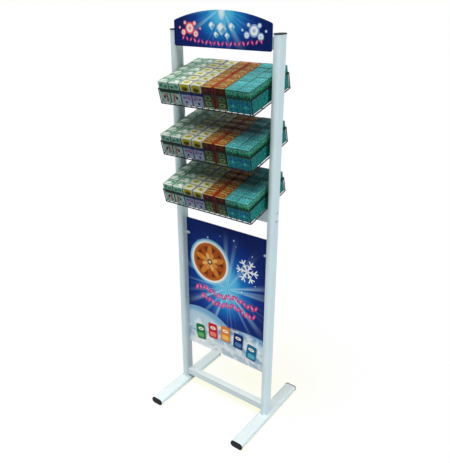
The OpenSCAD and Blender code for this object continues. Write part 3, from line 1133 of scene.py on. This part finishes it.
@dataclass
class PosterPanel(PrintedPlate):
    """Tall sheet under the baskets, printed with a cool burst over pale hills.

    The steps of the wave and of the sparks are in radians, and the sparks' distances are shares of the
    sky's half width.
    """

    node: str = "lower_panel"
    sheet: str = "laminated_poster_sheet"
    navy: str = "#062a7c"
    garland: Garland = Garland((15, 6.5), lean=24, pitch=17.4)
    wave_h: float = 8
    wave_step: float = 0.75
    sky_z: float = 395
    sky_half: Pair = (168, 135)
    spark_count: int = 18
    spark_r: float = 2.2
    spark_first: float = 0.35
    spark_further: float = 0.036
    golden_angle: float = 2.4

    def inks(self) -> Inks:
        """Lists the poster's inks from the ground up.

        Returns:
            The inks in the order of printing.
        """
        glow = (
            Field("#0b3f9f", (-10, 330), (215, 240), OVAL, soft=205),
            Field("#1583d4", (-5, 320), (150, 165), OVAL, soft=150),
            Field("#5fc8f0", (5, 318), (78, 110), OVAL, soft=76),
            Rays("#c3ecfc", (8, 312), 250, 6, 1.0),
        )
        garlands = self.wave(-138, 276, 17, 0) + self.wave(-112, 236, 15, 1.5)
        return (glow + self.sparks() + self.hills() + self.rosette(-74, 404) + self.crystal(98, 416, 50)
                + garlands + self.tiles())

    def wave(self, x: float, z: float, count: int, phase: float) -> Inks:
        """Hangs a garland on a wave.

        Args:
            x: place of the first petal across the sheet.
            z: height of the wave above the sheet's foot.
            count: number of petals.
            phase: where the wave starts, in radians.

        Returns:
            The garland's inks.
        """
        heights = [z + self.wave_h * math.sin(self.wave_step * i + phase) for i in range(count)]
        return self.garland.hang(x, heights)

    def sparks(self) -> Inks:
        """Scatters small lights over the dark sky by the golden angle, further out from one to the next.

        Returns:
            The lights' inks.
        """
        inks = []
        for i in range(self.spark_count):
            angle, r = self.golden_angle * i, self.spark_r + i % 3
            out = self.sky_half[0] * (self.spark_first + self.spark_further * i)
            at = (out * math.cos(angle), self.sky_z + self.sky_half[1] * math.sin(angle))
            inks.append(Field("#d9f1fd", at, (r, r), OVAL, soft=2))
        return tuple(inks)

    def hills(self) -> Inks:
        """Draws the pale hills at the poster's foot, with blue shade between them."""
        return (
            Field("#7fb2d6", (-120, 30), (190, 158), OVAL, 0, 6),
            Field("#b9d6e6", (-130, 22), (180, 150), OVAL, 0, 22),
            Field("#6ea3cb", (120, 0), (230, 150), OVAL, 0, 5),
            Field("#cfe2ec", (126, -8), (220, 142), OVAL, 0, 26),
            Field("#86aecb", (-30, -40), (290, 126), OVAL, 0, 6),
            Field("#e3eef3", (-30, -46), (290, 122), OVAL, 0, 40),
            Field("#9db9c9", (60, 14), (160, 18), CUSHION, -3, 12, 0.7),
            Field("#ffffff", (0, 60), (190, 90), PATCH, 0, 30, 0.6, 16),
        )

    def rosette(self, x: float, z: float) -> Inks:
        """Draws a pale-rimmed disc with warm petals in it.

        Args:
            x: middle of the disc across the sheet.
            z: middle of the disc above the sheet's foot.

        Returns:
            The disc's inks.
        """
        rims = (("#8fd4f2", 98, 8), ("#f6f5ee", 88, 2), ("#c4651f", 79, 2), ("#6a2a12", 72, 14))
        whorls = ((44, (27, 13), 10, ("#d9822b", "#b4521b")), (24, (17, 9), 8, ("#f0b868", "#e0954a")))
        heart = (("#5a2210", 12, 2), ("#f6e2b4", 7, 2))
        inks = [Field(colour, (x, z), (r, r), OVAL, soft=soft) for colour, r, soft in rims]
        for reach, half, count, colours in whorls:
            for i in range(count):
                angle = 360 / count * (i + 0.5)
                at = Vector((x, z, 0)) + reach * bearing(angle)
                inks.append(Field(colours[i % 2], (at.x, at.y), half, OVAL, angle, 2.5))
        inks += [Field(colour, (x, z), (r, r), OVAL, soft=soft) for colour, r, soft in heart]
        return tuple(inks)

    def crystal(self, x: float, z: float, r: float) -> Inks:
        """Draws a white crystal with six branched arms.

        Args:
            x: middle of the crystal across the sheet.
            z: middle of the crystal above the sheet's foot.
            r: length of an arm.

        Returns:
            The crystal's inks.
        """
        twigs = ((0.62, 0.2), (0.34, 0.13))
        bars = [(0, 0, 0.5, 0.07)]
        bars += [(start, side, long, 0.05) for start, long in twigs for side in (-50, 50)]
        inks = []
        for arm in range(0, 360, 60):
            for start, side, long, wide in bars:
                at = Vector((x, z, 0)) + r * (bearing(arm) * start + bearing(arm + side) * long)
                inks.append(Field("#f5fbff", (at.x, at.y), (r * long, r * wide), PATCH, arm + side))
        return tuple(inks)

    def tiles(self) -> Inks:
        """Draws a bow of coloured tiles across the pale foot.

        Returns:
            The tiles' inks: for each a shadow, a ground, a panel and a pale eye.
        """
        colours = (("#1c7a3c", "#5fb56a"), ("#c9272b", "#ee7f72"), ("#e8862a", "#f8c462"),
                   ("#142a66", "#4f77b8"), ("#0f6d94", "#58b4c8"))
        inks = []
        for i, (deep, light) in enumerate(colours):
            x, z, turn = -124 + 62 * i, 104 - 9 * (i - 2) ** 2, 8 - 4 * i
            inks += [
                Field("#22384f", (x + 2.5, z - 3), (24.5, 36), PATCH, turn, 3, 0.6),
                Field(deep, (x, z), (23, 35), PATCH, turn, 0.8),
                Field(light, (x, z - 17), (17, 11), CUSHION, turn, 1.5),
                Field("#f7f4ea", (x, z + 13), (15, 8), OVAL, turn, 1.5),
                Field(deep, (x, z + 13), (8, 3), OVAL, turn, 1),
            ]
        return tuple(inks)


@dataclass
class WireBaskets:
    """Three welded baskets of plated wire."""

    plate: BrightPlate = BrightPlate()
    nodes: tuple[str, ...] = ("top_basket", "middle_basket", "bottom_basket")

    def dress(self) -> None:
        """Plates the CAD wires."""
        finish_nodes(self.plate.material(), *self.nodes)


class Kind(Enum):
    """The four kinds of carton, by the word in their nodes' names."""

    PALE = "pale"
    YELLOW = "yellow"
    BROWN = "brown"
    TEAL = "teal"


class Face(Enum):
    """The printed faces of a carton, by the place of their finish."""

    FRONT = 0
    TOP = 1
    SIDE = 2


Design = dict[Face, tuple[str, Inks]]


@dataclass(frozen=True)
class CartonPrint:
    """Inks of one kind of carton, in millimetres from the lower middle of each of its faces."""

    kind: Kind
    w: float
    d: float
    h: float
    # Width of the painted shade along each upright edge of a face, where cartons meet
    gap_shade_w: float = 1.0
    strip_soft: float = 0.5

    def boards(self) -> list[Material]:
        """Makes the finishes of the three printed faces."""
        board = f"varnished_board_{self.kind.value}"
        return [
            CartonBoard(f"{board}_{face.name.lower()}", ground, inks=inks).material()
            for face, (ground, inks) in self.designs().items()]

    def across(self, colour: str, z: float, half: float) -> Field:
        """Prints a band right across the face at a height."""
        return Field(colour, (0, z), (2 * self.w, half))

    def upright(self, colour: str, x: float, half: float) -> Field:
        """Prints a strip over the whole height of a face."""
        return Field(colour, (x, 0), (half, 2 * self.h), soft=self.strip_soft)

    def gap_shaded_edges(self, colour: str, width: float) -> Inks:
        """Prints a dark strip along both upright edges of a face: painted shade of the gaps between cartons.

        Args:
            colour: colour of the painted shade.
            width: width of the face.

        Returns:
            The two strips.
        """
        return tuple(self.upright(colour, side * (width - self.gap_shade_w) / 2, self.gap_shade_w) for side in (-1, 1))

    def designs(self) -> Design:
        """Gives the ground colour and the inks of each face."""
        drawn = {
            Kind.PALE: self.pale, Kind.YELLOW: self.yellow, Kind.BROWN: self.brown, Kind.TEAL: self.teal}
        return drawn[self.kind]()

    def pale(self) -> Design:
        """Pale green carton with leaves, a dark belt and red berries.

        Returns:
            The ground colour and the inks of each face.
        """
        belt = (self.across("#083420", 43, 6.5), Field("#2f7255", (-5, 45), (8, 2), OVAL, 8))
        # Its dark upright edges are painted shade of the gaps between cartons
        front = self.gap_shaded_edges("#0b2d20", self.w) + belt + (
            Field("#528670", (0, 60), (20, 8.5), CUSHION, soft=2),
            Field("#276049", (-9, 61), (9, 4.5), OVAL, 28),
            Field("#1c533b", (9, 57), (8, 4), OVAL, -24),
            Field("#8eb0a6", (3, 63), (9, 1.8), OVAL, 12),
            # Pale line along the top edge and pale strip by one upright edge: painted highlights on the
            # carton's edges
            self.across("#a1bbb7", self.h - 2.2, 2.2),
            self.upright("#7fb09c", 2.4 - self.w / 2, 0.9),
            Field("#90a6a3", (0, 18), (19, 16), CUSHION),
            Field("#90685d", (5, 28), (10, 6), OVAL, 24),
            Field("#895b52", (9, 13), (6, 8), OVAL, -10),
            Field("#201014", (-4, 21), (5, 6), OVAL),
            Field("#3c171a", (8, 22), (3.2, 4.5), OVAL, 20),
            Field("#275d47", (-12, 11), (5, 3), OVAL, 40),
        )
        top = (
            Field("#c6cecc", (-5, 13), (13, 6), CUSHION, 24, 2),
            Field("#3c745a", (9, 22), (9, 4), OVAL, -28),
            Field("#225941", (-11, 26), (8, 3.2), OVAL, 26),
            # Pale line along the front edge: painted highlight; dark lines along the rear edge and one side
            # edge: painted shade of the gaps between cartons
            self.across("#cdd2d1", 2.2, 2.2),
            self.across("#1b4a37", self.d - 1.2, 1.4),
            self.upright("#4a7e67", self.w / 2 - 1, 1.3),
        )
        # Dark upright edges: painted shade of the gaps between cartons
        side = self.gap_shaded_edges("#0b2d20", self.d) + belt + (Field("#82a098", (0, 17), (14, 12), CUSHION),)
        return {Face.FRONT: ("#769d91", front), Face.TOP: ("#7fa593", top), Face.SIDE: ("#5d8e7b", side)}

    def yellow(self) -> Design:
        """Pale carton with a yellow crown, a dark oval and a navy belt.

        Returns:
            The ground colour and the inks of each face.
        """
        belt = (self.across("#0d1f65", 42, 5), Field("#2d4993", (8, 42), (9, 1.7), OVAL, 6))
        # Dark upright edges: painted shade of the gaps between cartons
        front = self.gap_shaded_edges("#323a54", self.w) + belt + (
            self.across("#9da5a7", self.h - 4, 4),
            Field("#9ca393", (0, 59), (20.5, 13.5), CUSHION),
            Field("#8b8406", (0, 60), (17.5, 11.5), CUSHION),
            Field("#282005", (0, 56.5), (12.5, 6.8), OVAL),
            Field("#7b700e", (-3, 59), (5, 1.6), OVAL, 8),
            Field("#896086", (6, 29), (11, 5.5), OVAL, 14),
            Field("#544386", (12, 24), (6, 3.5), OVAL),
            Field("#213677", (-9, 27), (7, 3), CUSHION, -15),
            Field("#0d1a42", (-2, 12), (4.2, 4.2), PATCH, 45),
            Field("#99a3b1", (10, 8), (9, 4), CUSHION),
        )
        top = (
            Field("#9b9b0d", (-2, 17), (12, 7.5), CUSHION, 20, 1.2),
            Field("#646408", (-1, 15), (6.5, 3), OVAL, 20),
            Field("#757f8d", (15, 28), (7, 3), OVAL, -30),
            Field("#5e697d", (-16, 6), (5, 2.2), OVAL, 30),
            # Dark lines along the rear edge and one side edge: painted shade of the gaps between cartons
            self.across("#272e40", self.d - 1.6, 2),
            self.upright("#626c78", self.w / 2 - 1, 1.2),
        )
        # Dark upright edges: painted shade of the gaps between cartons
        side = self.gap_shaded_edges("#323a54", self.d) + belt + (Field("#1e3359", (0, 16), (9, 5), OVAL),)
        return {Face.FRONT: ("#818ca2", front), Face.TOP: ("#b6bfa9", top), Face.SIDE: ("#858f9f", side)}

    def brown(self) -> Design:
        """Dark brown carton with olive beans and one red edge.

        Returns:
            The ground colour and the inks of each face.
        """
        beans = (
            Field("#4f633d", (-4, 36), (13, 8), CUSHION, 0, 1.2),
            Field("#202713", (-4, 35), (7.5, 4), OVAL, 20, 1.2),
            Field("#59704e", (-4, 17), (13, 7.5), CUSHION, 0, 1.2),
            Field("#293115", (-3, 17), (7.5, 3.6), OVAL, -18, 1.2),
        )
        crown = (
            self.across("#280b09", 59.5, 12),
            Field("#4e130b", (-8, 62), (9, 5), OVAL, 22, 1.5),
            Field("#130604", (7, 57), (9, 5), OVAL, -16, 1.5),
            # Tan line along the top edge: painted highlight on the carton's edge
            self.across("#8a7237", self.h - 1.4, 1.6),
            self.across("#728d68", 3.5, 3.4),
        )
        # Dark upright edges here and on the side: painted shade of the gaps between cartons
        front = beans + crown + self.gap_shaded_edges("#0f0906", self.w) + (self.upright("#5e0f0c", self.w / 2 - 3, 3),)
        top = (
            Field("#aa984f", (-3, 18), (14, 10.5), OVAL),
            Field("#6a3e15", (-3, 16), (12, 8.5), OVAL),
            Field("#98732d", (-3, 14), (7, 4.5), OVAL),
            Field("#b2b06e", (9, 29), (7, 1.8), OVAL, -24),
            # Dark line along the rear edge: painted shade of the gap between cartons; tan line along the
            # front edge: painted highlight
            self.across("#462109", self.d - 1.2, 1.5),
            self.across("#ac9c58", 1.2, 1.2),
            self.upright("#88190a", self.w / 2 - 3, 3),
        )
        return {Face.FRONT: ("#2d341c", front), Face.TOP: ("#764718", top),
                Face.SIDE: ("#2d341c", beans + crown + self.gap_shaded_edges("#1d0f0a", self.d))}

    def teal(self) -> Design:
        """Teal carton with a dark green crown and blue diamonds.

        Returns:
            The ground colour and the inks of each face.
        """
        crown = (
            self.across("#033f35", 59.5, 13),
            Field("#217b50", (0, 59), (self.w / 2, 11), PATCH, fleck=3.2),
            Field("#5eb7a5", (0, 63), (self.w / 2, 7), PATCH, cover=0.8, fleck=1.8),
            # Pale line along the top edge: painted highlight on the carton's edge
            self.across("#7ac1b9", self.h - 1, 1.1),
            self.across("#032b29", 46, 1.3),
        )
        stones = (
            ("#044983", -10, 30, 6.5), ("#044983", 10, 30, 6.5), ("#217ea0", -11, 31, 2.6),
            ("#217ea0", 9, 31, 2.6), ("#44aaa1", 0, 21, 4), ("#05577b", -10, 10, 5.5),
            ("#05577b", 10, 10, 5.5))
        facets = tuple(Field(colour, (x, z), (r, r), PATCH, 45) for colour, x, z, r in stones)
        haze = Field("#2a9992", (0, 23), (self.w / 2, 20), PATCH, cover=0.7, fleck=3)
        # Pale strip by one upright edge: painted highlight on the carton's edge
        front = (haze,) + crown + facets + (self.upright("#5faa73", -self.w / 2 + 1, 1.1),)
        top = (
            Field("#035557", (0, self.d / 2), (self.w / 2, self.d / 2), PATCH, cover=0.8, fleck=4),
            Field("#6bb4b8", (0, self.d / 2), (self.w / 2, self.d / 2), PATCH, cover=0.85, fleck=2),
            Field("#51acac", (-6, 22), (8, 3), OVAL, 22),
            # Dark line along the rear edge: painted shade of the gap between cartons; pale line along the
            # front edge: painted highlight
            self.across("#044e50", self.d - 1.2, 1.4),
            self.across("#55a5a8", 1, 1),
        )
        # Dark strip by the rear edge: painted shade of the gap between cartons
        side = (haze,) + crown + (self.upright("#033934", self.d / 2 - 1, 1),)
        return {Face.FRONT: ("#096d73", front), Face.TOP: ("#0e8389", top), Face.SIDE: ("#066562", side)}


@dataclass(frozen=True)
class CartonGrid:
    """How the cartons of one kind stand in a basket: rows side by side, gaps in millimetres."""

    rows: int = 2
    per_row: int = 6
    row_gap: float = 1.5
    gap: float = 0.8

    def carton(self, low: Vector, high: Vector) -> tuple[float, float, float]:
        """Works out one carton's width, depth and height in millimetres from the box of its group."""
        size = (high - low) / MM
        return ((size.x - (self.rows - 1) * self.row_gap) / self.rows,
                (size.y - (self.per_row - 1) * self.gap) / self.per_row, size.z)


@dataclass
class CartonRows:
    """Cartons of one kind in one basket, standing in rows on its sloping floor.

    Sizes are in millimetres and degrees. A face counts as a top where its normal rises by more than
    the share for a flat top.
    """

    tier: str
    kind: Kind
    grid: CartonGrid
    corner_r: float = 1.5
    board_t: float = 0.5
    lid_inset: float = 0.7
    lid_edge: float = 0.3
    fold_r: float = 0.6
    fold_mid: float = 0.2
    fold_sharp: float = 40
    flat_top: float = 0.6
    steps: int = 3
    skew: float = 0.3
    slack: float = 2.2

    def build(self, boards: list[Material], slope: Matrix, dice: Random) -> None:
        """Stands the cartons in place of their CAD node.

        Args:
            boards: finishes of the printed faces.
            slope: turn of the basket.
            dice: draws the small differences between the cartons.
        """
        node = f"{self.tier}_packs_{self.kind.value}"
        low, high = local_box(node, slope)
        w, d, h = self.grid.carton(low, high)
        piece = Workpiece(f"{self.tier}_cartons_{self.kind.value}")
        for row in range(self.grid.rows):
            for i in range(self.grid.per_row):
                x, y = (row + 0.5) * w + row * self.grid.row_gap, (i + 0.5) * d + i * self.grid.gap
                turn = turned(dice.uniform(-self.skew, self.skew), "Z")
                place = slope @ Matrix.Translation(low + Vector((x, y, 0)) * MM) @ turn
                height = h - dice.uniform(0, self.slack)
                self.fold(piece, (w, d, height), place, -1 if row % 2 else 1, dice.random())
        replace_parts(piece.build(boards, f"{self.kind.value}_carton", self.fold_sharp), node)

    def fold(self, piece: Workpiece, size: tuple[float, float, float], place: Matrix, facing: int,
             tone: float) -> None:
        """Folds one carton: a sleeve with soft edges and a tucked lid on top.

        Args:
            piece: the mesh that takes the carton.
            size: its width, depth and height.
            place: brings its own frame into the stand's frame.
            facing: -1 where the print is turned over from left to right.
            tone: share from dark to light.
        """
        w, d, h = size
        edge, mid, top = self.fold_r, self.fold_mid, h - self.board_t

        def stamp(normal: Vector, corners: Ring) -> tuple[int, Ring]:
            """Tells a face's print from the way that it looks.

            Args:
                normal: the way that the face looks.
                corners: its corners.

            Returns:
                The place of its finish, and its corners on the print.
            """
            if abs(normal.z) > self.flat_top:
                return Face.TOP.value, [Vector((facing * c.x, c.y + d / 2, tone)) for c in corners]
            if abs(normal.y) > abs(normal.x):
                return Face.FRONT.value, [Vector((facing * c.x, c.z, tone)) for c in corners]
            return Face.SIDE.value, [Vector((c.y, c.z, tone)) for c in corners]

        sleeve = ((edge, 0), (0, edge), (0, top - edge), (mid, top - mid), (edge, top))
        lid = ((self.lid_inset, top - self.lid_edge), (self.lid_inset, h - self.lid_edge / 2),
               (self.lid_inset + self.lid_edge, h))
        for stack in (sleeve, lid):
            piece.skin([at_height(self.outline(w, d, inset), z) for inset, z in stack], place, stamp)

    def outline(self, w: float, d: float, inset: float) -> Ring:
        """Draws the carton's outline, drawn in by an inset."""
        return rounded_section(w - 2 * inset, d - 2 * inset, self.corner_r - inset, self.steps)


def local_box(node: str, slope: Matrix) -> tuple[Vector, Vector]:
    """Measures a CAD node along a basket's slope.

    Args:
        node: name of the CAD node.
        slope: turn of the basket.

    Returns:
        Lowest and highest corner in the turned frame, in metres.
    """
    back = slope.inverted()
    turned_back = [back @ v.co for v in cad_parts[node].data.vertices]
    return (Vector(min(p[i] for p in turned_back) for i in range(3)),
            Vector(max(p[i] for p in turned_back) for i in range(3)))


def slope_of(node: str) -> Matrix:
    """Finds the turn of a basket from the flat tops of its cartons.

    Args:
        node: name of the cartons' CAD node.

    Returns:
        The turn about X.
    """
    tops = max(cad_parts[node].data.polygons, key=lambda p: p.area * max(p.normal.z, 0))
    return Matrix.Rotation(math.atan2(-tops.normal.y, tops.normal.z), 4, "X")


@dataclass
class Stock:
    """All cartons in the three baskets."""

    tiers: tuple[str, ...] = ("top", "middle", "bottom")
    grid: CartonGrid = CartonGrid()
    seed: int = 7

    def build(self) -> None:
        """Fills the baskets, one kind after the other from left to right."""
        dice = Random(self.seed)
        for kind in Kind:
            first = f"{self.tiers[0]}_packs_{kind.value}"
            slope = slope_of(first)
            boards = CartonPrint(kind, *self.grid.carton(*local_box(first, slope))).boards()
            for tier in self.tiers:
                CartonRows(tier, kind, self.grid).build(boards, slope, dice)


def main() -> None:
    """Builds the stand's looks from the floor up."""
    logging.basicConfig(level=logging.INFO, format="%(name)s: %(message)s")
    Studio().build()
    TubeFrame().dress()
    EndPlugs().build()
    HeaderPlate().dress()
    PosterPanel().dress()
    WireBaskets().dress()
    Fasteners().build()
    Stock().build()


if __name__ == "__main__":
    main()
